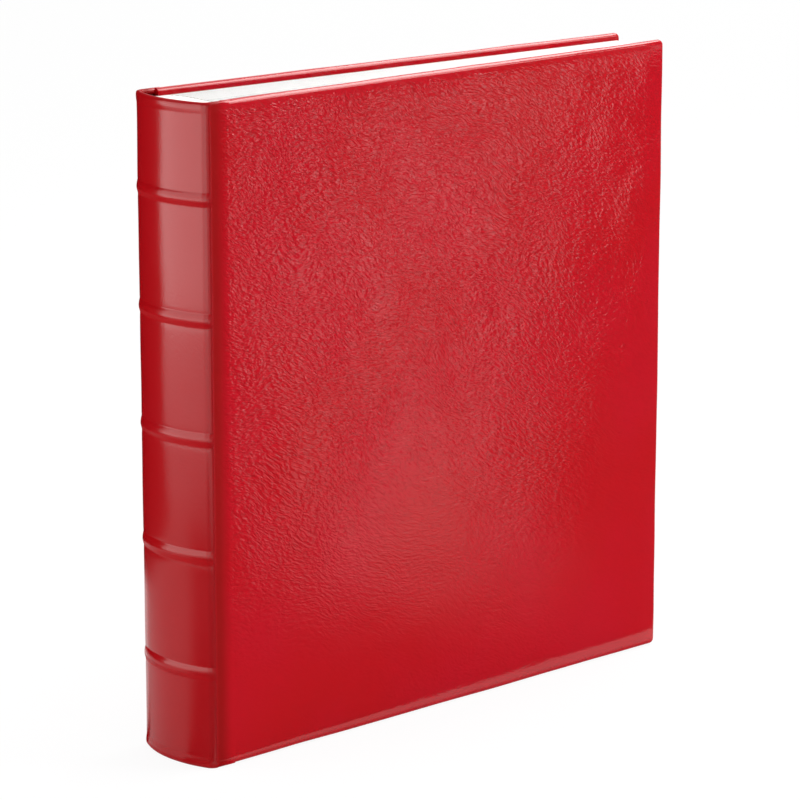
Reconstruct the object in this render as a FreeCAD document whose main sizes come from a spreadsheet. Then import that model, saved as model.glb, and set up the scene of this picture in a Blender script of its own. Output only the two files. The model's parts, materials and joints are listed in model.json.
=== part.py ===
import FreeCAD, Part
import os
import re
import Sketcher

# Stamp album, standing upright. X runs from spine to fore-edge, Y through the thickness, Z up.
doc = FreeCAD.newDocument("StampAlbum")
sheet = doc.addObject("Spreadsheet::Sheet", "Sizes")

# Driving sizes in millimetres
sizes = [
    ("coverHeight", 320),
    ("coverWidth", 291),
    ("grooveWidth", 8),
    ("grooveDepth", 0.7),
    ("spineDepth", 9.3),
    ("spineThickness", 54),
    ("foreThickness", 36.4),
    ("shoulderDrop", 0.3),
    ("shoulderRadius", 4.5),
    ("leatherThickness", 0.9),
    ("turnInThickness", 0.5),
    ("turnInWidth", 14),
    ("boardThickness", 3),
    ("edgeRound", 2.4),
    ("innerRound", 1),
    ("cornerRound", 2.8),
    ("endpaperThickness", 0.25),
    ("pasteMargin", 4),
    ("linerThickness", 1),
    ("hollowGap", 0.7),
    ("mullThickness", 0.3),
    ("mullMargin", 16),
    ("bandPitch", 57),
    ("bandWidth", 5.2),
    ("bandProud", 0.9),
    ("bandEnd", 0.25),
    ("bandRound", 0.6),
    ("capHeight", 4.5),
    ("capProud", 1.2),
    ("headSquare", 3.6),
    ("foreSquare", 3.2),
    ("leafThickness", 1.1),
    ("stripThickness", 0.12),
    ("stripHeight", 28),
    ("stripInset", 14),
    ("stripMargin", 8),
    ("interleafThickness", 0.06),
    ("hingeSetback", 12),
    ("flySetback", 1.5),
    ("leafGap", 0.6),
    ("guardGap", 1),
    ("outerNarrowing", 2.7),
    ("linenThickness", 0.2),
    ("blockClearance", 0.4),
    ("sheetClearance", 0.15),
    ("jointClearance", 0.1),
]

# Sizes that follow from the ones above
derived = [
    ("hingeReach", "grooveWidth / 2 + coverWidth"),
    ("lean", "atan((spineThickness - foreThickness) / 2 / hingeReach)"),
    ("coverThickness", "leatherThickness + boardThickness + turnInThickness"),
    ("innerThickness", "coverThickness + endpaperThickness"),
    ("foreReach", "hingeReach * cos(lean) - edgeRound * sin(lean)"),
    ("overallWidth", "capProud + spineDepth + grooveWidth / 2 + foreReach"),
    ("backX", "capProud - overallWidth / 2"),
    ("shoulderX", "backX + spineDepth"),
    ("hingeX", "shoulderX + grooveWidth / 2"),
    ("coverX", "hingeX + grooveWidth / 2"),
    ("halfThickness", "spineThickness / 2"),
    ("shoulderHalf", "halfThickness - shoulderDrop"),
    ("leafHeight", "coverHeight - 2 * headSquare"),
    ("stripPitch", "(leafHeight - 2 * stripMargin - stripHeight) / 8"),
    ("leafEndX", "hingeX + hingeReach - foreSquare"),
    ("leafHingeX", "hingeX + hingeSetback"),
    ("flyX", "hingeX + flySetback"),
    ("flyY", "halfThickness - innerThickness - blockClearance - endpaperThickness / 2"),
    ("guardPitch", "(flyY - endpaperThickness / 2 - sheetClearance - (hingeSetback - flySetback) * tan(lean)) / 8"),
    ("foreHalf", "halfThickness - innerThickness - (leafEndX - hingeX) * tan(lean)"),
    ("flyForeY", "foreHalf - sheetClearance - endpaperThickness / 2"),
    ("forePitch", "(flyForeY - endpaperThickness / 2 - sheetClearance) / 8"),
    ("flyLean", "atan((flyY - flyForeY) / (leafEndX - flyX))"),
    ("grooveRadius", "((grooveWidth / 2)^2 + grooveDepth^2) / (2 * grooveDepth)"),
    ("grooveY", "halfThickness - shoulderDrop / 2 + grooveRadius - grooveDepth"),
    ("linerInset", "leatherThickness + linerThickness"),
    ("turnInInset", "linerInset + turnInThickness"),
    ("mullInset", "linerInset + hollowGap"),
    ("guardInset", "mullInset + mullThickness + sheetClearance"),
]

# Each arch of the spine has a depth, a half thickness, a shoulder radius and a back radius
arches = [
    ("skin", "0", "0", "0"),
    ("ridge", "bandProud", "bandEnd", "bandProud"),
    ("cap", "capProud", "bandEnd", "capProud"),
    ("core", "bandProud - leatherThickness", "bandEnd - leatherThickness", "bandProud - leatherThickness"),
    ("liner", "-leatherThickness", "-leatherThickness", "-leatherThickness"),
    ("hollow", "-linerInset", "-linerInset", "-linerInset"),
    ("rim", "-turnInInset", "-turnInInset", "-turnInInset"),
    ("mull", "-mullInset", "-mullInset", "-mullInset"),
    ("block", "-(mullInset + mullThickness)", "-(mullInset + mullThickness)", "-(mullInset + mullThickness)"),
]
for arch, depthMore, halfMore, radiusMore in arches:
    derived.append((arch + "Depth", "spineDepth + " + depthMore))
    derived.append((arch + "Half", "shoulderHalf + " + halfMore))
    derived.append((arch + "Radius", "shoulderRadius + " + radiusMore))
    squares = "{0}Depth^2 + {0}Half^2 - 2 * {0}Half * {0}Radius".format(arch)
    derived.append((arch + "Back", "(" + squares + ") / (2 * ({0}Depth - {0}Radius))".format(arch)))
derived.append(("skinTurn", "(skinHalf - skinRadius) * (skinBack - guardInset) / (skinBack - skinRadius)"))

names = []
for row, (name, value) in enumerate(sizes + derived, start=1):
    text = str(value) if row <= len(sizes) else "=" + value
    sheet.set("A" + str(row), name)
    sheet.set("B" + str(row), text)
    sheet.setAlias("B" + str(row), name)
    names.append(name)
doc.recompute()
wordPattern = re.compile(r"\b(" + "|".join(names) + r")\b")


def bind(item, prop, text):
    item.setExpression(prop, wordPattern.sub(r"Sizes.\1", text))


def number(name):
    value = sheet.get(name)
    return float(getattr(value, "Value", value))


def onPlane(body, role, sketch, lift):
    plane = [item for item in body.Origin.OriginFeatures if item.Role == role][0]
    sketch.AttachmentSupport = [(plane, "")]
    sketch.MapMode = "FlatFace"
    bind(sketch, "AttachmentOffset.Base.z", lift)


def padBody(label, sketchMaker, lift, length):
    body = doc.addObject("PartDesign::Body", label)
    sketch = body.newObject("Sketcher::SketchObject", label + "Sketch")
    onPlane(body, "XY_Plane", sketch, lift)
    sketchMaker(sketch)
    pad = body.newObject("PartDesign::Pad", label + "Pad")
    pad.Profile = sketch
    bind(pad, "Length", length)
    sketch.Visibility = False
    doc.recompute()
    return body


def roundEdges(body, label, radius, picks):
    found = []
    base = body.Tip
    for count, edge in enumerate(base.Shape.Edges, start=1):
        if picks(edge.BoundBox):
            found.append("Edge" + str(count))
    fillet = body.newObject("PartDesign::Fillet", label)
    fillet.Base = (base, found)
    bind(fillet, "Radius", radius)
    doc.recompute()
    return fillet


def bevelEdges(body, label, size):
    # Take off the long edges of a band or cap, but not those at its ends
    base = body.Tip
    found = []
    for count, edge in enumerate(base.Shape.Edges, start=1):
        if edge.BoundBox.ZLength < 0.01 and edge.BoundBox.XLength > 0.01:
            found.append("Edge" + str(count))
    bevel = body.newObject("PartDesign::Chamfer", label)
    bevel.Base = (base, found)
    bind(bevel, "Size", size)
    doc.recompute()
    return bevel


def archSketch(arch):
    # Two shoulder arcs tangent to one back arc, closed by a straight line at the shoulder
    def draw(sketch):
        endX = number("shoulderX")
        half = number(arch + "Half")
        small = number(arch + "Radius")
        big = number(arch + "Back")
        up = FreeCAD.Vector(0, 0, 1)
        backCentre = FreeCAD.Vector(endX - number(arch + "Depth") + big, 0, 0)
        topCentre = FreeCAD.Vector(endX, half - small, 0)
        lowCentre = FreeCAD.Vector(endX, small - half, 0)
        turn = (topCentre - backCentre).getAngle(FreeCAD.Vector(1, 0, 0))
        quarter = FreeCAD.Units.Quantity("90 deg").getValueAs("rad").Value
        sketch.addGeometry(Part.ArcOfCircle(Part.Circle(topCentre, up, small), quarter, turn))
        sketch.addGeometry(Part.ArcOfCircle(Part.Circle(backCentre, up, big), turn, 4 * quarter - turn))
        sketch.addGeometry(Part.ArcOfCircle(Part.Circle(lowCentre, up, small), 4 * quarter - turn, 3 * quarter))
        low = FreeCAD.Vector(endX, -half, 0)
        high = FreeCAD.Vector(endX, half, 0)
        sketch.addGeometry(Part.LineSegment(low, high))
        sketch.addConstraint(Sketcher.Constraint("Tangent", 0, 2, 1, 1))
        sketch.addConstraint(Sketcher.Constraint("Tangent", 1, 2, 2, 1))
        sketch.addConstraint(Sketcher.Constraint("Coincident", 2, 2, 3, 1))
        sketch.addConstraint(Sketcher.Constraint("Coincident", 3, 2, 0, 1))
        sketch.addConstraint(Sketcher.Constraint("Vertical", 3))
        sketch.addConstraint(Sketcher.Constraint("Vertical", 0, 3, 0, 1))
        sketch.addConstraint(Sketcher.Constraint("Vertical", 2, 3, 2, 2))
        driven = [
            (("Radius", 0), small, arch + "Radius"),
            (("Radius", 1), big, arch + "Back"),
            (("Radius", 2), small, arch + "Radius"),
            (("DistanceX", 3, 1, -1, 1), -endX, "-shoulderX"),
            (("DistanceY", -1, 1, 0, 1), half, arch + "Half"),
            (("DistanceY", 2, 2, -1, 1), half, arch + "Half"),
        ]
        for spec, value, text in driven:
            index = sketch.addConstraint(Sketcher.Constraint(*spec, value))
            bind(sketch, "Constraints[" + str(index) + "]", text)
    return draw


def rectangleSketch(left, right, near, far):
    # A rectangle whose four sides stand at positive distances from the sketch origin
    def draw(sketch):
        points = [(1, 1), (9, 1), (9, 5), (1, 5)]
        for count in range(4):
            start = FreeCAD.Vector(*points[count], 0)
            end = FreeCAD.Vector(*points[(count + 1) % 4], 0)
            sketch.addGeometry(Part.LineSegment(start, end))
        for count in range(4):
            sketch.addConstraint(Sketcher.Constraint("Coincident", count, 2, (count + 1) % 4, 1))
        for line in (0, 2):
            sketch.addConstraint(Sketcher.Constraint("Horizontal", line))
        for line in (1, 3):
            sketch.addConstraint(Sketcher.Constraint("Vertical", line))
        driven = [
            (("DistanceX", -1, 1, 0, 1), 1, left),
            (("DistanceX", 0, 1, 0, 2), 8, "(" + right + ") - (" + left + ")"),
            (("DistanceY", 1, 1, 1, 2), 4, "(" + far + ") - (" + near + ")"),
        ]
        if near == "0":
            sketch.addConstraint(Sketcher.Constraint("PointOnObject", 0, 1, -1))
        else:
            driven.append((("DistanceY", -1, 1, 0, 1), 1, near))
        for spec, value, text in driven:
            index = sketch.addConstraint(Sketcher.Constraint(*spec, value))
            bind(sketch, "Constraints[" + str(index) + "]", text)
    return draw


def place(item, x, y, angle):
    bind(item, "Placement.Base.x", x)
    bind(item, "Placement.Base.y", y)
    bind(item, "Placement.Rotation.Angle", angle)


def box(label, axisX, axisY, angle, u, v, z, length, width, height):
    # A plate measured from an upright axis: u along the plate, v across it
    item = doc.addObject("Part::Box", label)
    bind(item, "Length", length)
    bind(item, "Width", width)
    bind(item, "Height", height)
    x = "{0} + ({2}) * cos({1}) - ({3}) * sin({1})".format(axisX, angle, u, v)
    y = "{0} + ({2}) * sin({1}) + ({3}) * cos({1})".format(axisY, angle, u, v)
    place(item, x, y, angle)
    bind(item, "Placement.Base.z", z)
    return item


def pair(kind, label, base, tool):
    item = doc.addObject(kind, label)
    item.Base = base
    item.Tool = tool
    return item


def group(kind, label, members):
    item = doc.addObject(kind, label)
    if kind == "Part::Compound":
        item.Links = members
    else:
        item.Shapes = members
    return item


def mirrored(label, source):
    item = doc.addObject("Part::Mirroring", label)
    item.Source = source
    item.Normal = FreeCAD.Vector(0, 1, 0)
    item.Base = FreeCAD.Vector(0, 0, 0)
    return item


nodes = []


def keep(item, name):
    item.Label = name
    nodes.append(item)
    return item


def keepBoth(item, name):
    keep(item, "front_" + name)
    keep(mirrored("Rear" + item.Name, item), "rear_" + name)


# Front cover: board, leather wrapped round three edges, and pastedown
coverEnd = "hingeReach"
wrap = padBody("Wrap", rectangleSketch("grooveWidth / 2", coverEnd, "0", "coverThickness"), "0", "coverHeight")
boardSketch = rectangleSketch(
    "grooveWidth / 2", "hingeReach - leatherThickness",
    "leatherThickness", "leatherThickness + boardThickness")
board = padBody("Board", boardSketch, "leatherThickness", "coverHeight - 2 * leatherThickness")


def roundCover(body, inset, bottom, rounding, cornering):
    edgeX = number("hingeReach") - inset
    slack = 0.01
    roundEdges(body, body.Name + "Corners", cornering, lambda b: b.XMin > edgeX - slack and b.ZLength < slack)
    roundEdges(body, body.Name + "Outer", rounding,
               lambda b: b.YMax < bottom + slack and b.XMax > number("grooveWidth"))


roundCover(wrap, 0, 0, "edgeRound", "cornerRound")
roundCover(board, number("leatherThickness"), number("leatherThickness"),
           "edgeRound - leatherThickness", "cornerRound - leatherThickness")
innerFace = number("coverThickness") - 0.01
roundEdges(wrap, "WrapInner", "innerRound",
           lambda b: b.YMin > innerFace and b.XMax > number("grooveWidth"))
for body in (wrap, board):
    place(body, "hingeX", "-halfThickness", "lean")


def coverBox(label, u, v, z, length, width, height):
    return box(label, "hingeX", "-halfThickness", "lean", u, v, z, length, width, height)


windowLength = "coverWidth - turnInWidth"
windowDepth = "leatherThickness + boardThickness"
window = coverBox("Window", "grooveWidth / 2 - 1", windowDepth, "turnInWidth",
                  windowLength + " + 1", "2 * turnInThickness", "coverHeight - 2 * turnInWidth")
hollowOut = group("Part::MultiFuse", "CoverHollow", [board, window])
frontLeather = pair("Part::Cut", "CoverLeather", wrap, hollowOut)
filling = coverBox("Filling", "grooveWidth / 2", windowDepth, "turnInWidth",
                   windowLength, "turnInThickness", "coverHeight - 2 * turnInWidth")
sheetPaper = coverBox("SheetPaper", "grooveWidth / 2", "coverThickness", "pasteMargin",
                      "coverWidth - pasteMargin", "endpaperThickness", "coverHeight - 2 * pasteMargin")
pastedown = group("Part::MultiFuse", "Pastedown", [filling, sheetPaper])
keepBoth(frontLeather, "leather")
keepBoth(board, "board")
keepBoth(pastedown, "pastedown")

# Spine: leather with five raised bands, their cores, the liner and the mull
skin = padBody("Skin", archSketch("skin"), "0", "coverHeight")
headCap = padBody("HeadCap", archSketch("cap"), "coverHeight - capHeight", "capHeight")
tailCap = padBody("TailCap", archSketch("cap"), "0", "capHeight")
bevelEdges(headCap, "HeadCapBevel", "bandRound")
bevelEdges(tailCap, "TailCapBevel", "bandRound")
linerArch = padBody("LinerArch", archSketch("liner"), "leatherThickness", "coverHeight - 2 * leatherThickness")
hollow = padBody("Hollow", archSketch("hollow"), "-5", "coverHeight + 10")
middle = padBody("Middle", archSketch("hollow"), "turnInWidth", "coverHeight - 2 * turnInWidth")
rim = padBody("Rim", archSketch("rim"), "-5", "coverHeight + 10")
ridges = []
cores = []
for count in range(5):
    centre = "coverHeight / 2 + {} * bandPitch".format(2 - count)
    tagBand = str(count + 1)
    ridge = padBody("Ridge" + tagBand, archSketch("ridge"), centre + " - bandWidth / 2", "bandWidth")
    bevelEdges(ridge, "RidgeBevel" + tagBand, "bandRound")
    coreArch = padBody("CoreArch" + tagBand, archSketch("core"),
                       centre + " - bandWidth / 2 + leatherThickness", "bandWidth - 2 * leatherThickness")
    core = pair("Part::Cut", "Core" + tagBand, coreArch, linerArch)
    ridges.append(ridge)
    cores.append(core)
    keep(core, "raised_band_" + tagBand)
liner = pair("Part::Cut", "Liner", linerArch, hollow)
spineOutside = group("Part::MultiFuse", "SpineOutside", [skin, headCap, tailCap] + ridges)
spineInside = group("Part::MultiFuse", "SpineInside", [liner, middle, rim] + cores)
spineLeather = pair("Part::Cut", "SpineLeather", spineOutside, spineInside)
keep(spineLeather, "spine_leather")
keep(liner, "spine_liner")
mullArch = padBody("MullArch", archSketch("mull"), "mullMargin", "coverHeight - 2 * mullMargin")
blockArch = padBody("BlockArch", archSketch("block"), "-5", "coverHeight + 10")
keep(pair("Part::Cut", "Mull", mullArch, blockArch), "mull")

# Joint leather: a hollow strip between the spine and the front cover
strips = []
for label, radius in (("GrooveUnder", "grooveRadius + leatherThickness"), ("GrooveOver", "grooveRadius")):
    tube = doc.addObject("Part::Cylinder", label)
    bind(tube, "Radius", radius)
    bind(tube, "Height", "coverHeight")
    bind(tube, "Placement.Base.x", "hingeX")
    bind(tube, "Placement.Base.y", "-grooveY")
    strips.append(tube)
ring = pair("Part::Cut", "GrooveRing", strips[0], strips[1])
clip = box("GrooveClip", "shoulderX", "-grooveY", "0", "0", "0", "0",
           "grooveWidth - jointClearance", "grooveRadius + 2 * leatherThickness", "coverHeight")
jointLeather = pair("Part::Common", "JointLeather", ring, clip)
keepBoth(jointLeather, "joint_leather")

# Endpaper: the flyleaf and the strip that crosses the joint
flyleaf = box("Flyleaf", "flyX", "-flyY", "flyLean", "jointClearance", "-endpaperThickness / 2", "headSquare",
              "leafEndX - flyX - jointClearance", "endpaperThickness", "leafHeight")
keepBoth(flyleaf, "flyleaf")
crossing = box("Crossing", "flyX", "-flyY", "0", "0", "-blockClearance - endpaperThickness / 2", "headSquare",
               "coverX - flyX - 2 * jointClearance", "endpaperThickness", "leafHeight")
keepBoth(crossing, "endpaper_joint")

# Leaves: the front eight are drawn and the rear eight mirror them
guards = []
linens = []
for leaf in range(1, 9):
    steps = str(8.5 - leaf)
    tag = "{:02d}".format(leaf)
    tagRear = "{:02d}".format(17 - leaf)
    narrow = "outerNarrowing * (max(0; {} - 4) / 3.5)^2".format(steps)
    axisX = "(leafHingeX - {})".format(narrow)
    axisY = "(-{} * guardPitch)".format(steps)
    lean = "atan({} * (guardPitch - forePitch) / (leafEndX - leafHingeX))".format(steps)
    length = "leafEndX - " + axisX + " - leafGap"
    card = box("Leaf" + tag, axisX, axisY, lean, "leafGap", "-leafThickness / 2", "headSquare",
               length, "leafThickness", "leafHeight")
    pieces = []
    for side in (-1, 1):
        across = "leafThickness / 2" if side > 0 else "-leafThickness / 2 - stripThickness"
        for row in range(9):
            lift = "headSquare + stripMargin + {} * stripPitch".format(row)
            pieces.append(box("Strip", axisX, axisY, lean, "stripInset", across, lift,
                              length + " - 2 * stripInset", "stripThickness", "stripHeight"))
    across = "-leafThickness / 2 - stripThickness - interleafThickness"
    pieces.append(box("Interleaf", axisX, axisY, lean, "leafGap", across, "headSquare",
                      length, "interleafThickness", "leafHeight"))
    glassine = group("Part::Compound", "Glassine" + tag, pieces)
    keep(card, "leaf_" + tag)
    keep(glassine, "leaf_" + tag + "_glassine")
    keep(mirrored("Leaf" + tagRear, card), "leaf_" + tagRear)
    keep(mirrored("Glassine" + tagRear, glassine), "leaf_" + tagRear + "_glassine")
    # The guard's back follows the inside of the mull at its outer corner
    corner = "({} * guardPitch)".format(9 - leaf)
    backArc = "skinBack - sqrt((skinBack - guardInset)^2 - " + corner + "^2)"
    shoulderArc = ("spineDepth - sqrt((skinRadius - guardInset)^2 - "
                   + "max(0; " + corner + " - skinHalf + skinRadius)^2)")
    back = "(backX + (" + corner + " > skinTurn ? " + shoulderArc + " : " + backArc + "))"
    guards.append(box("Guard" + tag, back, axisY, "0", "0", "-guardPitch / 2 + jointClearance / 4", "headSquare",
                      axisX + " - guardGap - " + back, "guardPitch - jointClearance / 2", "leafHeight"))
    linens.append(box("Linen" + tag, axisX, axisY, "0", "-guardGap", "-linenThickness / 2", "headSquare",
                      "guardGap + leafGap - jointClearance", "linenThickness", "leafHeight"))
guardFront = group("Part::Compound", "GuardFront", guards)
guardRear = mirrored("GuardRear", guardFront)
keep(group("Part::Compound", "Guards", [guardFront, guardRear]), "guards")
keepBoth(group("Part::Compound", "Linens", linens), "linen_hinges")
doc.recompute()

# Check every object, then write one file per piece
for item in doc.Objects:
    bad = [word for word in item.State if word in ("Invalid", "Error")]
    if bad:
        raise RuntimeError(item.Label + " did not build: " + ", ".join(bad))
os.makedirs("parts", exist_ok=True)
whole = FreeCAD.BoundBox()
for item in nodes:
    shape = item.Shape
    if shape.isNull() or not shape.isValid() or not shape.Solids:
        raise RuntimeError(item.Label + " has no sound shape")
    whole.add(shape.BoundBox)
    shape.exportStep("parts/" + item.Label + ".step")
    print(item.Label, len(shape.Solids), "solids", round(shape.Volume, 1), "mm3")
print("pieces", len(nodes), "box", whole)
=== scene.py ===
import json
import math
import bmesh
import bpy
from mathutils import Matrix, Vector


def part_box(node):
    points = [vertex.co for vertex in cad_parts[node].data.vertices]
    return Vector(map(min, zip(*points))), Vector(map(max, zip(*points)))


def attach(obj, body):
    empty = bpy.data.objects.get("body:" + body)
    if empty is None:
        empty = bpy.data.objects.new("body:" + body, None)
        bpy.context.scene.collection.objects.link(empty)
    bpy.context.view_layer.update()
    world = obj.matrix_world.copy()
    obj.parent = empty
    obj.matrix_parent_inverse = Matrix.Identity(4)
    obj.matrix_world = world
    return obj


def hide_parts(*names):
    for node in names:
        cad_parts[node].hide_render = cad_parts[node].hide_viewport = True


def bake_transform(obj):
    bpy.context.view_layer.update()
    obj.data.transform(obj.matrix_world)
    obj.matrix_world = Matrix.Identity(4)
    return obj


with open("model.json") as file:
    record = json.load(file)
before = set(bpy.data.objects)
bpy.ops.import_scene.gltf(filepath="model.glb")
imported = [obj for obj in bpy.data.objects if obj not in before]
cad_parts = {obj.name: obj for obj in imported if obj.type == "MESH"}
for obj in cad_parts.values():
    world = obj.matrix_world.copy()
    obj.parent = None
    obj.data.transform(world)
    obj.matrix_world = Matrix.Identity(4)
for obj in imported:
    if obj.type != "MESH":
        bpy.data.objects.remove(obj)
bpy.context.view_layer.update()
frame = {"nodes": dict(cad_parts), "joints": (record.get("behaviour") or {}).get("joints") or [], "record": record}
nodes = frame["nodes"]
joints = {joint["name"]: joint for joint in frame["joints"]}
scene = bpy.context.scene

# sizes of the case that several pieces share, in metres
case = {
    "height": 0.320,
    "coverWidth": 0.291,
    "coverThickness": 0.0044,
    "spineThickness": 0.054,
    "foreThickness": 0.0364,
    "spineDepth": 0.0093,
    "shoulderRadius": 0.0045,
    "shoulderDrop": 0.0003,
    "groove": 0.008,
    "hideWall": 0.00045,
}
hingeX = joints["front_cover_hinge"]["pos_m"][0]
halfSpine = case["spineThickness"] / 2
shoulderX = hingeX - case["groove"] / 2
coverX = hingeX + case["groove"] / 2
shoulderHalf = halfSpine - case["shoulderDrop"]
coverLean = math.atan((halfSpine - case["foreThickness"] / 2) / (case["groove"] / 2 + case["coverWidth"]))


# small helpers for modelling by operator

def clearSelection():
    if bpy.context.object and bpy.context.object.mode != "OBJECT":
        bpy.ops.object.mode_set(mode="OBJECT")
    bpy.ops.object.select_all(action="DESELECT")


def settle(piece):
    clearSelection()
    piece.select_set(True)
    bpy.context.view_layer.objects.active = piece
    bpy.ops.object.transform_apply(location=True, rotation=True, scale=True)


def addCube(name, low, high):
    clearSelection()
    bpy.ops.mesh.primitive_cube_add(size=1, location=[(a + b) / 2 for a, b in zip(low, high)])
    piece = bpy.context.object
    piece.name = piece.data.name = name
    piece.scale = [b - a for a, b in zip(low, high)]
    settle(piece)
    return piece


def addPoint(name, place):
    clearSelection()
    bpy.ops.mesh.primitive_plane_add(size=0.01, location=place)  # any size, as it is merged to a point
    piece = bpy.context.object
    piece.name = piece.data.name = name
    settle(piece)
    bpy.ops.object.mode_set(mode="EDIT")
    bpy.ops.mesh.select_mode(type="VERT")
    bpy.ops.mesh.select_all(action="SELECT")
    bpy.ops.mesh.merge(type="CENTER")
    return piece


def pick(piece, kind, test):
    bpy.ops.mesh.select_mode(type=kind)
    bpy.ops.mesh.select_all(action="DESELECT")
    mesh = bmesh.from_edit_mesh(piece.data)
    for item in {"EDGE": mesh.edges, "FACE": mesh.faces}[kind]:
        if test(item):
            item.select_set(True)
    mesh.select_flush_mode()
    bmesh.update_edit_mesh(piece.data)


def cutAcross(axis, places):
    for place in places:
        spot = [0, 0, 0]
        facing = [0, 0, 0]
        spot[axis] = place
        facing[axis] = 1
        bpy.ops.mesh.select_all(action="SELECT")
        bpy.ops.mesh.bisect(plane_co=spot, plane_no=facing)


def steps(low, high, gap):
    count = max(2, round((high - low) / gap))
    return [low + (high - low) * k / count for k in range(1, count)]


def finishWith(piece, kind, **settings):
    clearSelection()
    piece.select_set(True)
    bpy.context.view_layer.objects.active = piece
    modifier = piece.modifiers.new(kind.title(), kind)
    for key, value in settings.items():
        setattr(modifier, key, value)
    bpy.ops.object.modifier_apply(modifier=modifier.name)


def swell(piece, look):
    # the same cloud runs through every hide piece, so neighbours swell together
    pattern = bpy.data.textures.get(look["name"])
    if not pattern:
        pattern = bpy.data.textures.new(look["name"], "CLOUDS")
        pattern.noise_scale = look["size"]
        pattern.noise_depth = 1
    finishWith(piece, "DISPLACE", texture=pattern, strength=look["strength"], mid_level=0.5,
               texture_coords="GLOBAL")


def smoothOver(piece, degrees):
    clearSelection()
    piece.select_set(True)
    bpy.context.view_layer.objects.active = piece
    bpy.ops.object.shade_smooth_by_angle(angle=math.radians(degrees))


def turnToRear(piece):
    # half a turn about the album's own long axis, so the rear piece keeps its normals
    piece.matrix_world = Matrix.Translation((0, 0, case["height"])) @ Matrix.Rotation(math.pi, 4, "X")
    settle(piece)


def faceOut(piece, outward):
    # an open sheet has no inside, so its winding is set by the way that it should face
    bpy.ops.object.mode_set(mode="EDIT")
    bpy.ops.mesh.select_all(action="SELECT")
    bpy.ops.mesh.normals_make_consistent(inside=False)
    mesh = bmesh.from_edit_mesh(piece.data)
    score = sum(face.calc_area() * outward(face.calc_center_median()).dot(face.normal) for face in mesh.faces)
    if score < 0:
        bpy.ops.mesh.flip_normals()
    bpy.ops.object.mode_set(mode="OBJECT")


# covers: leather drawn over the board, turned in along head, tail and fore-edge

coverHide = {"edgeRound": 0.0023, "innerRound": 0.0020, "cornerRound": 0.0028, "turnIn": 0.014,
             "endWrap": 0.0006, "lipRound": 0.0005, "grid": 0.0045, "edgeSteps": 5, "cornerSteps": 4,
             "sharp": 0.8, "flat": 0.9, "smooth": 45}
hideSwell = {"name": "hideSwell", "size": 0.055, "strength": 0.0007}


def makeCoverHide(name, rear):
    look = coverHide
    top = case["height"]
    low = Vector((coverX - look["endWrap"], -halfSpine, 0))
    high = Vector((coverX + case["coverWidth"], -halfSpine + case["coverThickness"], top))
    piece = addCube(name, low, high)
    near = 1e-5
    bpy.ops.object.mode_set(mode="EDIT")
    pick(piece, "EDGE", lambda edge: all(v.co.x > high.x - near for v in edge.verts)
         and abs(edge.verts[0].co.y - edge.verts[1].co.y) > near)
    bpy.ops.mesh.bevel(offset=look["cornerRound"], segments=look["cornerSteps"], affect="EDGES")
    for level, size in ((low.y, look["edgeRound"]), (high.y, look["innerRound"])):
        pick(piece, "EDGE", lambda edge: edge.calc_face_angle(0) > look["sharp"]
             and any(v.co.x > low.x + near for v in edge.verts)
             and all(abs(v.co.y - level) < near for v in edge.verts))
        bpy.ops.mesh.bevel(offset=size, segments=look["edgeSteps"], affect="EDGES")
    # the inner face stays only as the turn-in
    cutAcross(2, [look["turnIn"], top - look["turnIn"]])
    cutAcross(0, [high.x - look["turnIn"]])
    pick(piece, "FACE", lambda face: face.normal.y > look["flat"]
         and look["turnIn"] < face.calc_center_median().z < top - look["turnIn"]
         and face.calc_center_median().x < high.x - look["turnIn"])
    bpy.ops.mesh.delete(type="FACE")
    # rounded where the hide leaves the board for the joint
    pick(piece, "EDGE", lambda edge: len(edge.link_faces) == 2 and edge.calc_face_angle(0) > look["sharp"]
         and all(v.co.x < low.x + near and v.co.y < low.y + near for v in edge.verts))
    bpy.ops.mesh.bevel(offset=look["lipRound"], segments=look["cornerSteps"], affect="EDGES")
    cutAcross(0, steps(low.x + look["lipRound"], high.x - look["turnIn"], look["grid"]))
    cutAcross(2, steps(look["turnIn"], top - look["turnIn"], look["grid"]))
    bpy.ops.object.mode_set(mode="OBJECT")
    axis = Vector((hingeX, -halfSpine, 0))
    piece.matrix_world = (Matrix.Translation(axis) @ Matrix.Rotation(coverLean, 4, "Z")
                          @ Matrix.Translation(-axis))
    settle(piece)
    if rear:
        turnToRear(piece)
    swell(piece, hideSwell)
    finishWith(piece, "SOLIDIFY", thickness=case["hideWall"], offset=-1)
    smoothOver(piece, look["smooth"])
    return piece


frontHide = makeCoverHide("frontHide", False)
rearHide = makeCoverHide("rearHide", True)
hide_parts("front_leather")
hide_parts("rear_leather")
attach(frontHide, "front_cover")
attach(rearHide, "rear_cover")
print("covers drawn over their boards")


# spine: one arched hide with raised bands, capped and turned in at head and tail

spineHide = {"bandPitch": 0.057, "bandProud": 0.0010, "capProud": 0.0008, "sideProud": 0.0003,
             "fold": -0.0030, "turnIn": 0.014, "fieldGap": 0.007, "shoulderSteps": 7, "backSteps": 14,
             "smooth": 60}


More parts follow.
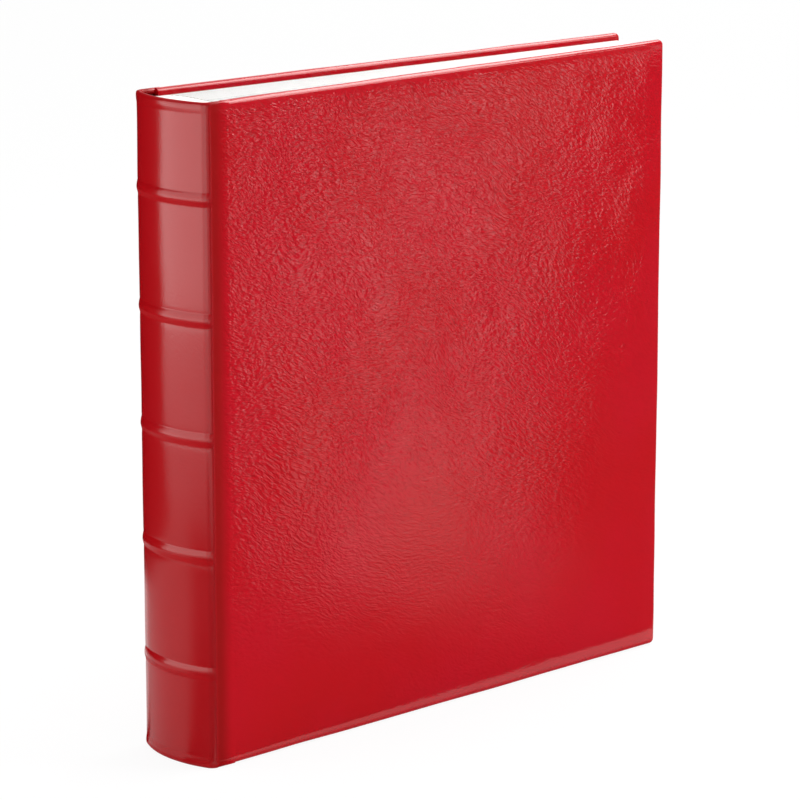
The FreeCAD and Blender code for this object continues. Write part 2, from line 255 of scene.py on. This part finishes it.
def spineRings():
    # each ring is its height and how far it stands proud of the plain arch
    look = spineHide
    top = case["height"]
    fold = look["fold"]
    cap = look["capProud"]
    # from the turn-in, round the edge and over the cap
    end = [(look["turnIn"], fold), (0.0024, fold), (0.0009, fold * 0.93), (0.0002, fold * 0.7),
           (0.0, fold * 0.42), (0.0001, fold * 0.12), (0.0006, cap * 0.55), (0.0014, cap * 0.95),
           (0.0024, cap), (0.0038, cap * 0.75), (0.0050, cap * 0.3), (0.0058, cap * 0.12),
           (0.0070, cap * 0.2), (0.0090, 0.0)]
    # a band from below: a crease at its foot, a rise to the crest, and a thin crease above
    bandShape = [(-0.0070, 0.0), (-0.0052, 0.0), (-0.0040, -0.05), (-0.0031, -0.12), (-0.0025, -0.10),
                 (-0.0019, 0.12), (-0.0013, 0.44), (-0.0007, 0.76), (-0.0001, 0.98), (0.0007, 1.06),
                 (0.0015, 0.98), (0.0023, 0.78), (0.0030, 0.50), (0.0036, 0.18), (0.0040, -0.06),
                 (0.0045, -0.06), (0.0053, 0.0), (0.0066, 0.0)]
    rings = list(end)
    for place in range(-2, 3):
        centre = top / 2 + place * look["bandPitch"]
        first = centre + bandShape[0][0]
        rings += [(z, 0.0) for z in steps(rings[-1][0], first, look["fieldGap"])]
        rings += [(centre + rise, share * look["bandProud"]) for rise, share in bandShape]
    rings += [(z, 0.0) for z in steps(rings[-1][0], top - end[-1][0], look["fieldGap"])]
    rings += [(top - z, proud) for z, proud in reversed(end)]
    return rings


def makeSpineHide():
    look = spineHide
    depth = case["spineDepth"]
    small = case["shoulderRadius"]
    half = shoulderHalf
    big = (depth ** 2 + half ** 2 - 2 * half * small) / (2 * (depth - small))
    turn = math.atan2(half - small, depth - big)
    piece = addPoint("spineHide", (shoulderX, half, 0))
    for centre, angle, count in (((shoulderX, half - small, 0), turn - math.pi / 2, look["shoulderSteps"]),
                                 ((shoulderX - depth + big, 0, 0), 2 * (math.pi - turn), look["backSteps"]),
                                 ((shoulderX, small - half, 0), turn - math.pi / 2, look["shoulderSteps"])):
        bpy.ops.mesh.spin(steps=count, angle=angle, center=centre, axis=(0, 0, -1))
    rings = spineRings()
    bpy.ops.mesh.select_all(action="SELECT")
    height = 0.0
    wasX, wasY = depth, half
    for place, (z, proud) in enumerate(rings):
        side = proud if proud < 0 else proud * look["sideProud"] / look["bandProud"]
        if place:
            bpy.ops.mesh.extrude_region_move(TRANSFORM_OT_translate={"value": (0, 0, z - height)})
        else:
            bpy.ops.transform.translate(value=(0, 0, z))
        bpy.ops.transform.resize(value=((depth + proud) / wasX, (half + side) / wasY, 1),
                                 center_override=(shoulderX, 0, z))
        wasX, wasY, height = depth + proud, half + side, z
    bpy.ops.object.mode_set(mode="OBJECT")
    faceOut(piece, lambda spot: Vector((spot.x - shoulderX, spot.y, 0)))
    finishWith(piece, "SUBSURF", levels=1, render_levels=1)
    swell(piece, hideSwell)
    finishWith(piece, "SOLIDIFY", thickness=case["hideWall"], offset=-1)
    smoothOver(piece, look["smooth"])
    return piece


spinePiece = makeSpineHide()
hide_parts("spine_leather")
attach(spinePiece, "spine")
print("spine arched and banded")


# joints: the hide runs on from spine to cover

jointHide = {"dip": 0.00006, "across": 13, "crease": 0.0003, "spineLap": 0.0008, "coverLap": 0.0024,
             "rowGap": 0.004, "lift": 0.00003, "wall": case["hideWall"] * 0.6, "smooth": 60,
             "tuck": [(0.0034, 0.0010), (0.0030, 0.0017), (0.0022, 0.0024), (0.0012, 0.0025),
                      (0.0004, 0.0020), (0.0, 0.0012), (0.0003, 0.0004), (0.0012, 0.0)]}


def makeJointHide(name, rear):
    look = jointHide
    wide = case["groove"]
    rise = look["lift"] + case["shoulderDrop"] - wide * math.tan(coverLean) / 2
    path = [Vector((shoulderX - look["spineLap"], -shoulderHalf - look["lift"], 0))]
    for part in range(look["across"] + 1):
        share = part / look["across"]
        dip = look["dip"] * math.sin(math.pi * share) ** 2
        path.append(Vector((shoulderX + wide * share, -shoulderHalf - rise * share + dip, 0)))
    lap = Vector((math.cos(coverLean), math.sin(coverLean), 0)) * look["coverLap"]
    path += [path[-1] + lap / 2, path[-1] + lap]
    piece = addPoint(name, path[0])
    for before, after in zip(path, path[1:]):
        bpy.ops.mesh.extrude_region_move(TRANSFORM_OT_translate={"value": after - before})
    bpy.ops.mesh.select_all(action="SELECT")
    # rows up the joint, rolled inwards at tail and head
    top = case["height"]
    tuck = look["tuck"]
    rows = tuck + [(z, 0.0) for z in steps(tuck[-1][0], top - tuck[-1][0], look["rowGap"])]
    rows += [(top - z, inward) for z, inward in reversed(tuck)]
    height, depth = 0.0, 0.0
    for place, (z, inward) in enumerate(rows):
        move = (0, inward - depth, z - height)
        if place:
            bpy.ops.mesh.extrude_region_move(TRANSFORM_OT_translate={"value": move})
        else:
            bpy.ops.transform.translate(value=move)
        height, depth = z, inward
    bpy.ops.object.mode_set(mode="OBJECT")
    faceOut(piece, lambda spot: Vector((0, -1, 0)))
    if rear:
        turnToRear(piece)
    swell(piece, hideSwell)
    finishWith(piece, "SOLIDIFY", thickness=look["wall"], offset=-1)
    smoothOver(piece, look["smooth"])
    return piece


for side, rear in (("front", False), ("rear", True)):
    strip = makeJointHide(side + "JointHide", rear)
    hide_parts(side + "_joint_leather")
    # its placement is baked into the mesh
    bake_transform(strip)
print("joints grooved")


# linen tapes that hinge the leaves, and the endpaper that crosses each joint

tape = {"guardSide": 0.0010, "leafSide": 0.0006, "tuck": 0.0002, "thickness": 0.0002, "cuts": 7,
        "edge": 0.00005, "edgeSteps": 2, "sharp": 0.8}
crossing = {"crease": 0.0003, "cuts": 6}
leafCount = sum(name.startswith("leaf_") for name in joints)


def makeTape(name, low, high, cuts):
    piece = addCube(name, low, high)
    bpy.ops.object.mode_set(mode="EDIT")
    cutAcross(0, steps(low[0], high[0], (high[0] - low[0]) / cuts))
    bpy.ops.object.mode_set(mode="OBJECT")
    finishWith(piece, "BEVEL", width=tape["edge"], segments=tape["edgeSteps"], limit_method="ANGLE",
               angle_limit=tape["sharp"])
    return piece


def copyPiece(piece, name, shift):
    twin = piece.copy()
    twin.data = piece.data.copy()
    twin.name = twin.data.name = name
    scene.collection.objects.link(twin)
    twin.location = shift
    settle(twin)
    return twin


leafLow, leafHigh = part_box("leaf_01")
firstAxis = Vector(joints["leaf_01_turn"]["pos_m"])
halfTape = tape["thickness"] / 2
firstTape = makeTape("tape01",
                     (firstAxis.x - tape["guardSide"] - tape["tuck"], firstAxis.y - halfTape, leafLow.z),
                     (firstAxis.x + tape["leafSide"] + tape["tuck"], firstAxis.y + halfTape, leafHigh.z),
                     tape["cuts"])
tapes = [firstTape]
for count in range(2, leafCount + 1):
    axis = Vector(joints["leaf_{:02d}_turn".format(count)]["pos_m"])
    tapes.append(copyPiece(firstTape, "tape{:02d}".format(count), axis - firstAxis))
for count, piece in enumerate(tapes, start=1):
    leaf = "leaf_{:02d}".format(count)
    axis = Vector(joints[leaf + "_turn"]["pos_m"])
    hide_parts("front_linen_hinges" if count <= leafCount / 2 else "rear_linen_hinges")
    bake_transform(piece)
crossings = []
for side in ("front", "rear"):
    low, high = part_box(side + "_endpaper_joint")
    low.x -= crossing["crease"]
    piece = makeTape(side + "Crossing", low, high, crossing["cuts"])
    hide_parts(side + "_endpaper_joint")
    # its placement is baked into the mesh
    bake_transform(piece)
    crossings.append(piece)
print("tapes and endpaper joints in place")


# finishes: shader maths written as expressions on wrapped sockets

class Wire:
    def __init__(self, finish, socket):
        self.finish = finish
        self.socket = socket

    def maths(self, operation, first, second):
        return self.finish.make("ShaderNodeMath", {"operation": operation}, {0: first, 1: second})

    def __add__(self, other):
        return self.maths("ADD", self, other)

    def __radd__(self, other):
        return self.maths("ADD", other, self)

    def __sub__(self, other):
        return self.maths("SUBTRACT", self, other)

    def __rsub__(self, other):
        return self.maths("SUBTRACT", other, self)

    def __mul__(self, other):
        return self.maths("MULTIPLY", self, other)

    def __rmul__(self, other):
        return self.maths("MULTIPLY", other, self)

    def __truediv__(self, other):
        return self.maths("DIVIDE", self, other)


class Finish:
    def __init__(self, name):
        self.material = bpy.data.materials.new(name)
        self.material.use_nodes = True
        self.tree = self.material.node_tree
        self.shader = next(node for node in self.tree.nodes if node.type == "BSDF_PRINCIPLED")

    def make(self, kind, settings=None, sockets=None, out=0):
        node = self.tree.nodes.new(kind)
        for key, value in (settings or {}).items():
            setattr(node, key, value)
        for key, value in (sockets or {}).items():
            self.feed(node.inputs[key], value)
        return Wire(self, node.outputs[out])

    def feed(self, socket, value):
        if isinstance(value, Wire):
            self.tree.links.new(value.socket, socket)
        else:
            socket.default_value = value

    def set(self, **sockets):
        for key, value in sockets.items():
            self.feed(self.shader.inputs[key.replace("_", " ")], value)

    def place(self):
        return self.make("ShaderNodeTexCoord", out="Object")

    def axes(self, where):
        split = self.make("ShaderNodeSeparateXYZ", None, {"Vector": where}).socket.node
        return [Wire(self, socket) for socket in split.outputs]

    def noise(self, where, scale, detail=2.0, rough=0.5, out=0):
        return self.make("ShaderNodeTexNoise", {"noise_dimensions": "3D"},
                         {"Vector": where, "Scale": scale, "Detail": detail, "Roughness": rough}, out)

    def cells(self, where, scale):
        return self.make("ShaderNodeTexVoronoi", {"feature": "DISTANCE_TO_EDGE"},
                         {"Vector": where, "Scale": scale})

    def between(self, value, low, high, toLow=0.0, toHigh=1.0):
        return self.make("ShaderNodeMapRange", {"interpolation_type": "SMOOTHSTEP"},
                         {0: value, 1: low, 2: high, 3: toLow, 4: toHigh})

    def apart(self, value, centre):
        return self.make("ShaderNodeMath", {"operation": "ABSOLUTE"}, {0: value - centre})

    def turned(self, where, turn, stretch):
        return self.make("ShaderNodeMapping", {"vector_type": "TEXTURE"},
                         {"Vector": where, "Rotation": turn, "Scale": stretch})

    def warped(self, where, scale, amount):
        drift = self.noise(where, scale, 2.0, out="Color")
        centred = self.make("ShaderNodeVectorMath", {"operation": "SUBTRACT"},
                            {0: drift, 1: (0.5, 0.5, 0.5)})
        sized = self.make("ShaderNodeVectorMath", {"operation": "SCALE"}, {0: centred, "Scale": amount})
        return self.make("ShaderNodeVectorMath", {"operation": "ADD"}, {0: where, 1: sized})

    def mix(self, share, first, second):
        return self.make("ShaderNodeMix", {"data_type": "RGBA"}, {0: share, 6: first, 7: second}, out=2)

    def spread(self, value, least, extra):
        return least + extra * value

    def relief(self, height, strength, distance):
        return self.make("ShaderNodeBump", None,
                         {"Strength": strength, "Distance": distance, "Height": height})

    def layer(self, share, other):
        both = self.make("ShaderNodeMixShader", None,
                         {0: share, 1: Wire(self, self.shader.outputs[0]), 2: other})
        self.tree.links.new(both.socket, self.tree.nodes["Material Output"].inputs["Surface"])


leatherLook = {
    "red": (0.49, 0.0012, 0.0062, 1), "crimson": (0.51, 0.0016, 0.0120, 1),
    # painted shade: the next two colours darken the grain's creases, the spine and the joint
    "paintedShade": (0.285, 0.0012, 0.0028, 1), "shade": (0.31, 0.0012, 0.0022, 1), "sheen": (1.0, 0.95, 0.92, 1),
    "rough": 0.085, "spineRough": 0.19, "roughDrift": 0.05,
    "dullRough": 0.6, "dullShine": 0.06, "dullShare": 0.85,
    # how often each pattern repeats, and how far the warps push it
    "swirl": (15.0, 0.030), "wander": (120.0, 0.0025), "grainWander": (300.0, 0.0014),
    "ripple": 800.0, "crease": 480.0, "grain": 900.0, "folds": 46.0, "pores": 2400.0, "rolling": 42.0,
    "patches": 11.0, "foldPatches": 26.0, "tonePatches": 14.0, "roughPatches": 30.0,
    "rippleSlant": 24, "rippleStretch": 2.8, "foldSlant": -25, "foldStretch": 2.2,
    # how high each stands
    "rippleRise": 2.0, "creaseRise": 0.06, "grainRise": 0.03, "foldRise": 0.22, "poreRise": 0.025,
    "rollRise": 1.3, "relief": 0.0002,
    # where the grain comes up, from the tail, and fades, towards the fore-edge and the head
    "tailRise": (0.02, 0.15), "foreFade": (0.06, 0.125), "headFade": (-0.0055, -0.002),
    # where the hide is dull, from the middle of a band, from the tail and from the head
    "bandFoot": (-0.0034, -0.0022), "bandCrest": (-0.0006, 0.0006),
    "tailEdge": (0.0016, 0.0032), "headRim": (-0.0012, -0.0005),
}


def makeLeather():
    look = leatherLook
    top = case["height"]
    finish = Finish("redLeather")
    between = finish.between
    where = finish.place()
    along, _, up = finish.axes(where)
    # the hide is pulled smooth over the spine and looser over the boards, most of all towards the head
    loose = between(along, shoulderX + 0.004, coverX + 0.002, 0.12, 1.0)
    patchy = between(finish.noise(where, look["patches"], 2.0), 0.36, 0.64)
    zone = loose * (0.12 + 0.25 * patchy + 0.63 * between(up, *look["tailRise"]))
    zone = zone * between(along, *look["foreFade"], 1.0, 0.4)
    zone = zone * between(up, *[top + below for below in look["headFade"]], 1.0, 0.1)
    swirl = finish.warped(where, *look["swirl"])
    slanted = finish.turned(finish.warped(swirl, *look["wander"]),
                            (0, math.radians(look["rippleSlant"]), 0), (look["rippleStretch"], 1.0, 1.0))
    ripple = finish.noise(slanted, look["ripple"], 1.0)
    crease = between(finish.apart(finish.noise(slanted, look["crease"], 1.0), 0.5), 0.0, 0.07)
    grain = between(finish.cells(finish.warped(where, *look["grainWander"]), look["grain"]), 0.0, 0.25)
    folded = finish.turned(swirl, (0, math.radians(look["foldSlant"]), 0), (look["foldStretch"], 1, 1))
    folds = between(finish.cells(folded, look["folds"]), 0.0, 0.012)
    folds = 1 - (1 - folds) * between(finish.noise(where, look["foldPatches"], 1.0), 0.50, 0.62) * zone
    pores = finish.noise(where, look["pores"], 2.0)
    rolling = finish.noise(swirl, look["rolling"], 2.0)
    height = (ripple * zone * look["rippleRise"] + crease * zone * look["creaseRise"]
              + grain * zone * look["grainRise"] + folds * look["foldRise"]
              + pores * look["poreRise"] + rolling * loose * look["rollRise"])
    relief = finish.relief(height, 1.0, look["relief"])
    cloudy = between(finish.noise(where, look["tonePatches"], 3.0), 0.3, 0.72)
    tone = finish.mix(cloudy, look["red"], look["crimson"])
    # painted shade: the grain's crease lines are darkened, as shade would fall in them
    tone = finish.mix((1 - crease) * zone * 0.4, tone, look["paintedShade"])
    # painted shade: darker on the spine's side, and darkest in the joint, where the shade falls
    tone = finish.mix(between(along, shoulderX - 0.001, shoulderX + 0.0005, 0.8, 0.0), tone, look["paintedShade"])
    joint = (between(along, shoulderX - 0.0010, shoulderX + 0.0005)
             * between(along, shoulderX + 0.0015, coverX + 0.0015, 1.0, 0.0))
    tone = finish.mix(joint, tone, look["shade"])
    rough = (between(along, shoulderX - 0.001, coverX, look["spineRough"], look["rough"])
             + look["roughDrift"] * (finish.noise(where, look["roughPatches"], 3.0) - 0.5))
    finish.set(Base_Color=tone, Roughness=rough, Normal=relief, IOR=1.5, Specular_Tint=look["sheen"])
    # left unpolished: the joint, the foot of each band, the tail edge and the spine's head rim
    pitch = spineHide["bandPitch"]
    fromBand = finish.make("ShaderNodeMath", {"operation": "WRAP"},
                           {0: up - top / 2, 1: pitch / 2, 2: -pitch / 2})
    foot = (between(fromBand, *look["bandFoot"]) * between(fromBand, *look["bandCrest"], 1.0, 0.0)
            * between(along, shoulderX - 0.0015, shoulderX, 1.0, 0.0))
    tail = between(up, *look["tailEdge"], 1.0, 0.0)
    rim = (between(up, *[top + below for below in look["headRim"]])
           * between(along, shoulderX - 0.0005, shoulderX, 1.0, 0.0))
    dull = finish.make("ShaderNodeBsdfPrincipled", None,
                       {"Base Color": tone, "Roughness": look["dullRough"], "Normal": relief,
                        "Specular IOR Level": look["dullShine"]})
    finish.layer(look["dullShare"] * (joint + foot + (tail + rim)), dull)
    return finish.material


cardLook = {"white": (0.95, 0.95, 0.94, 1), "grey": (0.91, 0.91, 0.90, 1), "fibres": 900.0,
            "rough": (0.55, 0.12), "relief": (0.12, 0.0001)}


def makeCard():
    look = cardLook
    finish = Finish("whiteCard")
    fibre = finish.noise(finish.place(), look["fibres"], 4.0, 0.6)
    finish.set(Base_Color=finish.mix(fibre * 0.5, look["white"], look["grey"]),
               Roughness=finish.spread(fibre, *look["rough"]),
               Normal=finish.relief(fibre, *look["relief"]))
    return finish.material


endpaperLook = {"cream": (0.86, 0.84, 0.78, 1), "buff": (0.78, 0.75, 0.68, 1), "mottle": 120.0,
                "lines": 1500.0, "lineStretch": (0.08, 1, 1), "rough": (0.7, 0.1), "relief": (0.15, 0.0001)}


def makeEndpaper():
    look = endpaperLook
    finish = Finish("endpaper")
    where = finish.place()
    laid = finish.noise(finish.turned(where, (0, 0, 0), look["lineStretch"]), look["lines"], 2.0)
    mottle = finish.noise(where, look["mottle"], 4.0)
    finish.set(Base_Color=finish.mix(mottle * 0.6, look["cream"], look["buff"]),
               Roughness=finish.spread(laid, *look["rough"]), Normal=finish.relief(laid, *look["relief"]))
    return finish.material


glassineLook = {"clear": (0.90, 0.92, 0.91, 1), "milky": (0.97, 0.98, 0.97, 1), "clouds": 160.0,
                "cockle": 60.0, "rough": (0.16, 0.14), "cover": (0.05, 0.05), "relief": (0.1, 0.0004)}


def makeGlassine():
    look = glassineLook
    finish = Finish("glassine")
    where = finish.place()
    cloud = finish.noise(where, look["clouds"], 4.0)
    cockle = finish.noise(where, look["cockle"], 2.0)
    finish.set(Base_Color=finish.mix(cloud, look["clear"], look["milky"]),
               Roughness=finish.spread(cloud, *look["rough"]), Alpha=finish.spread(cloud, *look["cover"]),
               Normal=finish.relief(cockle, *look["relief"]))
    return finish.material


wovenLook = {"wobble": 1.2, "detail": 2.0, "rough": (0.85, -0.1), "relief": (0.5, 0.0002)}


def makeWoven(name, colour, dark, threads):
    look = wovenLook
    finish = Finish(name)
    where = finish.place()
    yarn = {"Vector": where, "Scale": threads, "Distortion": look["wobble"], "Detail": look["detail"]}
    warp, weft = [
        finish.make("ShaderNodeTexWave",
                    {"wave_type": "BANDS", "wave_profile": "SIN", "bands_direction": way}, yarn, out=1)
        for way in ("X", "Z")]
    weave = warp * weft
    finish.set(Base_Color=finish.mix(weave, dark, colour), Roughness=finish.spread(weave, *look["rough"]),
               Normal=finish.relief(weave, *look["relief"]))
    return finish.material


boardLook = {"pulp": 700.0, "rough": (0.8, 0.1), "relief": (0.3, 0.0003)}


def makeBoard(name, colour, fleck):
    look = boardLook
    finish = Finish(name)
    pulp = finish.between(finish.noise(finish.place(), look["pulp"], 5.0, 0.7), 0.35, 0.7)
    finish.set(Base_Color=finish.mix(pulp, fleck, colour), Roughness=finish.spread(pulp, *look["rough"]),
               Normal=finish.relief(pulp, *look["relief"]))
    return finish.material


finishes = {
    "red_leather": makeLeather(),
    "white_card": makeCard(),
    "endpaper": makeEndpaper(),
    "glassine": makeGlassine(),
    "linen": makeWoven("linen", (0.86, 0.84, 0.79, 1), (0.66, 0.63, 0.57, 1), 520.0),
    "mull": makeWoven("mullCloth", (0.80, 0.76, 0.68, 1), (0.52, 0.48, 0.41, 1), 260.0),
    "greyboard": makeBoard("greyboard", (0.36, 0.34, 0.31, 1), (0.24, 0.22, 0.20, 1)),
    "band_core": makeBoard("bandCore", (0.42, 0.36, 0.28, 1), (0.30, 0.25, 0.19, 1)),
}


def dress(piece, slotName):
    piece.data.materials.clear()
    piece.data.materials.append(finishes[slotName])


for row in frame["record"]["subparts"]:
    dress(nodes[row["node"]], row["material_slot"])
for name in ("frontHide", "rearHide", "spineHide", "frontJointHide", "rearJointHide"):
    dress(bpy.data.objects[name], "red_leather")
for piece in tapes:
    dress(piece, "linen")
for piece in crossings:
    dress(piece, "endpaper")
print("finishes on")


# studio: pale floor, soft boxes, and the camera where the photograph was taken

studio = {"floorSize": 24.0, "floorLevel": -0.0002, "selfLit": 0.9, "ambient": 0.21}
clearSelection()
bpy.ops.mesh.primitive_plane_add(size=studio["floorSize"], location=(0, 0, studio["floorLevel"]))
floor = bpy.context.object
floor.name = "floor"
paper = Finish("palePaper")
paper.set(Base_Color=(0.92, 0.92, 0.92, 1), Roughness=0.9)
# white to the camera and in reflections, and still shaded by the album
rays = paper.make("ShaderNodeLightPath").socket.node
seen = Wire(paper, rays.outputs["Is Camera Ray"])
for kind in ("Is Glossy Ray", "Is Transmission Ray"):
    seen = paper.make("ShaderNodeMath", {"operation": "ADD", "use_clamp": True},
                      {0: seen, 1: Wire(paper, rays.outputs[kind])})
glow = paper.make("ShaderNodeEmission", None, {"Color": (1, 1, 1, 1), "Strength": 1.0})
paper.layer(seen * studio["selfLit"], glow)
floor.data.materials.append(paper.material)

scene.world = bpy.data.worlds.new("studioWorld")
scene.world.use_nodes = True
backdrop = scene.world.node_tree.nodes["Background"]
backdrop.inputs["Color"].default_value = (1, 1, 1, 1)
backdrop.inputs["Strength"].default_value = studio["ambient"]

softBoxes = [
    {"name": "leftBox", "place": (-0.767, 0.234, 0.33), "aim": (-0.15, 0.0, 0.33),
     "size": (0.785, 0.56), "power": 2.9},
    {"name": "frontBox", "place": (-0.674, -0.402, 0.255), "aim": (-0.15, 0.0, 0.255),
     "size": (0.69, 0.41), "power": 1.1},
    {"name": "rightBox", "place": (0.74, -0.81, 0.80), "aim": (0.02, 0.0, 0.25),
     "size": (0.46, 0.50), "power": 3.0},
    {"name": "keyBox", "place": (0.92, -0.31, 1.33), "aim": (0.0, 0.0, 0.3),
     "size": (1.5, 0.5), "power": 18.0},
    {"name": "topBox", "place": (0.6, 0.9, 3.2), "aim": (0.6, 0.9, 0.0),
     "size": (5.0, 5.0), "power": 90.0},
    {"name": "rimBox", "place": (2.4, 1.9, 1.35), "aim": (0.0, 0.0, 0.3),
     "size": (2.8, 2.0), "power": 20.0},
]
for box in softBoxes:
    lamp = bpy.data.lights.new(box["name"], "AREA")
    lamp.shape = "RECTANGLE"
    lamp.size, lamp.size_y = box["size"]
    lamp.energy = box["power"]
    holder = bpy.data.objects.new(box["name"], lamp)
    scene.collection.objects.link(holder)
    holder.location = box["place"]
    holder.rotation_euler = (Vector(box["aim"]) - Vector(box["place"])).to_track_quat("-Z", "Y").to_euler()
    holder.visible_camera = False

# black cards that only reflections see, as a photographer sets them to keep a glossy side dark
darkCards = [
    {"name": "backCard", "place": (-0.19, 0.495, 0.35), "size": (0.68, 0.70), "turn": (90, 0, 0)},
    {"name": "backFloor", "place": (-0.19, 0.40, 0.0015), "size": (0.68, 0.19), "turn": (0, 0, 0)},
]
# a glowing card beside the spine that paints a reflection on the lower spine; its glow fades round towards the
# joint
spineCard = {"name": "spineCard", "place": (-0.3725, -0.0585, 0.0018), "size": (0.455, 0.723),
             "turn": (0, 0, 0), "foot": (-0.150, -0.012), "fade": (0.12, 0.55), "glow": 0.57}
# and a glowing card in front of the album that paints the reflected highlight on the cover: dark, with a glowing
# lane running off towards the right
gradedCard = {"name": "gradedCard", "place": (1.69, -1.78, 0.0015), "size": (3.70, 3.50),
              "turn": (0, 0, 0), "heading": -46.0, "nearSide": (-0.14, -0.05), "farSide": (-0.02, 0.09),
              "flare": 0.07, "flareOver": (1.0, 1.8), "firstRise": (0.08, 0.40), "lastRise": (0.60, 1.70),
              "glow": 2.6}


def cardFinish(name):
    finish = Finish(name)
    finish.set(Base_Color=(0.004, 0.004, 0.004, 1), Roughness=1.0, Specular_IOR_Level=0.0)
    return finish


def glowBy(finish, level, strength):
    finish.set(Emission_Strength=strength, Emission_Color=finish.mix(level, (0, 0, 0, 1), (1, 1, 1, 1)))


# painted reflection: this card glows in a lane, and only reflections see it
graded = cardFinish("gradedCard")
cardX, cardY, _ = graded.axes(graded.place())
heading = math.radians(gradedCard["heading"])
reach = cardX * math.cos(heading) + cardY * math.sin(heading)
across = cardY * math.cos(heading) - cardX * math.sin(heading)
opened = across - gradedCard["flare"] * graded.between(reach, *gradedCard["flareOver"])
lane = graded.between(across, *gradedCard["nearSide"])
lane = lane * graded.between(opened, *gradedCard["farSide"], 1.0, 0.0)
rise = (0.37 * graded.between(reach, *gradedCard["firstRise"])
        + 0.63 * graded.between(reach, *gradedCard["lastRise"]))
glowBy(graded, 0.05 + 0.95 * lane * rise, gradedCard["glow"])
# painted reflection: this card glows, and only reflections see it
grey = cardFinish("spineCard")
cardX, cardY, _ = grey.axes(grey.place())
footX, footY = spineCard["foot"]
glowBy(grey, grey.between((cardY - footY) / (footX - cardX), *spineCard["fade"]), spineCard["glow"])
black = cardFinish("blackCard")
surfaces = {"gradedCard": graded.material, "spineCard": grey.material}
for row in darkCards + [gradedCard, spineCard]:
    clearSelection()
    turn = [math.radians(angle) for angle in row["turn"]]
    bpy.ops.mesh.primitive_plane_add(size=1, location=row["place"], rotation=turn)
    card = bpy.context.object
    card.name = row["name"]
    card.scale = (*row["size"], 1)
    settle(card)
    card.data.materials.append(surfaces.get(row["name"], black.material))
    card.visible_camera = card.visible_diffuse = card.visible_shadow = card.visible_transmission = False

view = {"yaw": 40.77, "pitch": 13.53, "distance": 1.896, "target": (-0.0070, 0.0, 0.1538),
        "lens": 172.5, "sensor": 36.0}
yaw, pitch = math.radians(view["yaw"]), math.radians(view["pitch"])
sight = Vector((math.sin(yaw) * math.cos(pitch), math.cos(yaw) * math.cos(pitch), -math.sin(pitch)))
camera = bpy.data.objects.new("photoCamera", bpy.data.cameras.new("photoCamera"))
scene.collection.objects.link(camera)
camera.location = Vector(view["target"]) - sight * view["distance"]
camera.rotation_euler = sight.to_track_quat("-Z", "Y").to_euler()
camera.data.sensor_width = view["sensor"]
camera.data.lens = view["lens"]
scene.camera = camera
scene.view_settings.view_transform = "Standard"
print("studio set")
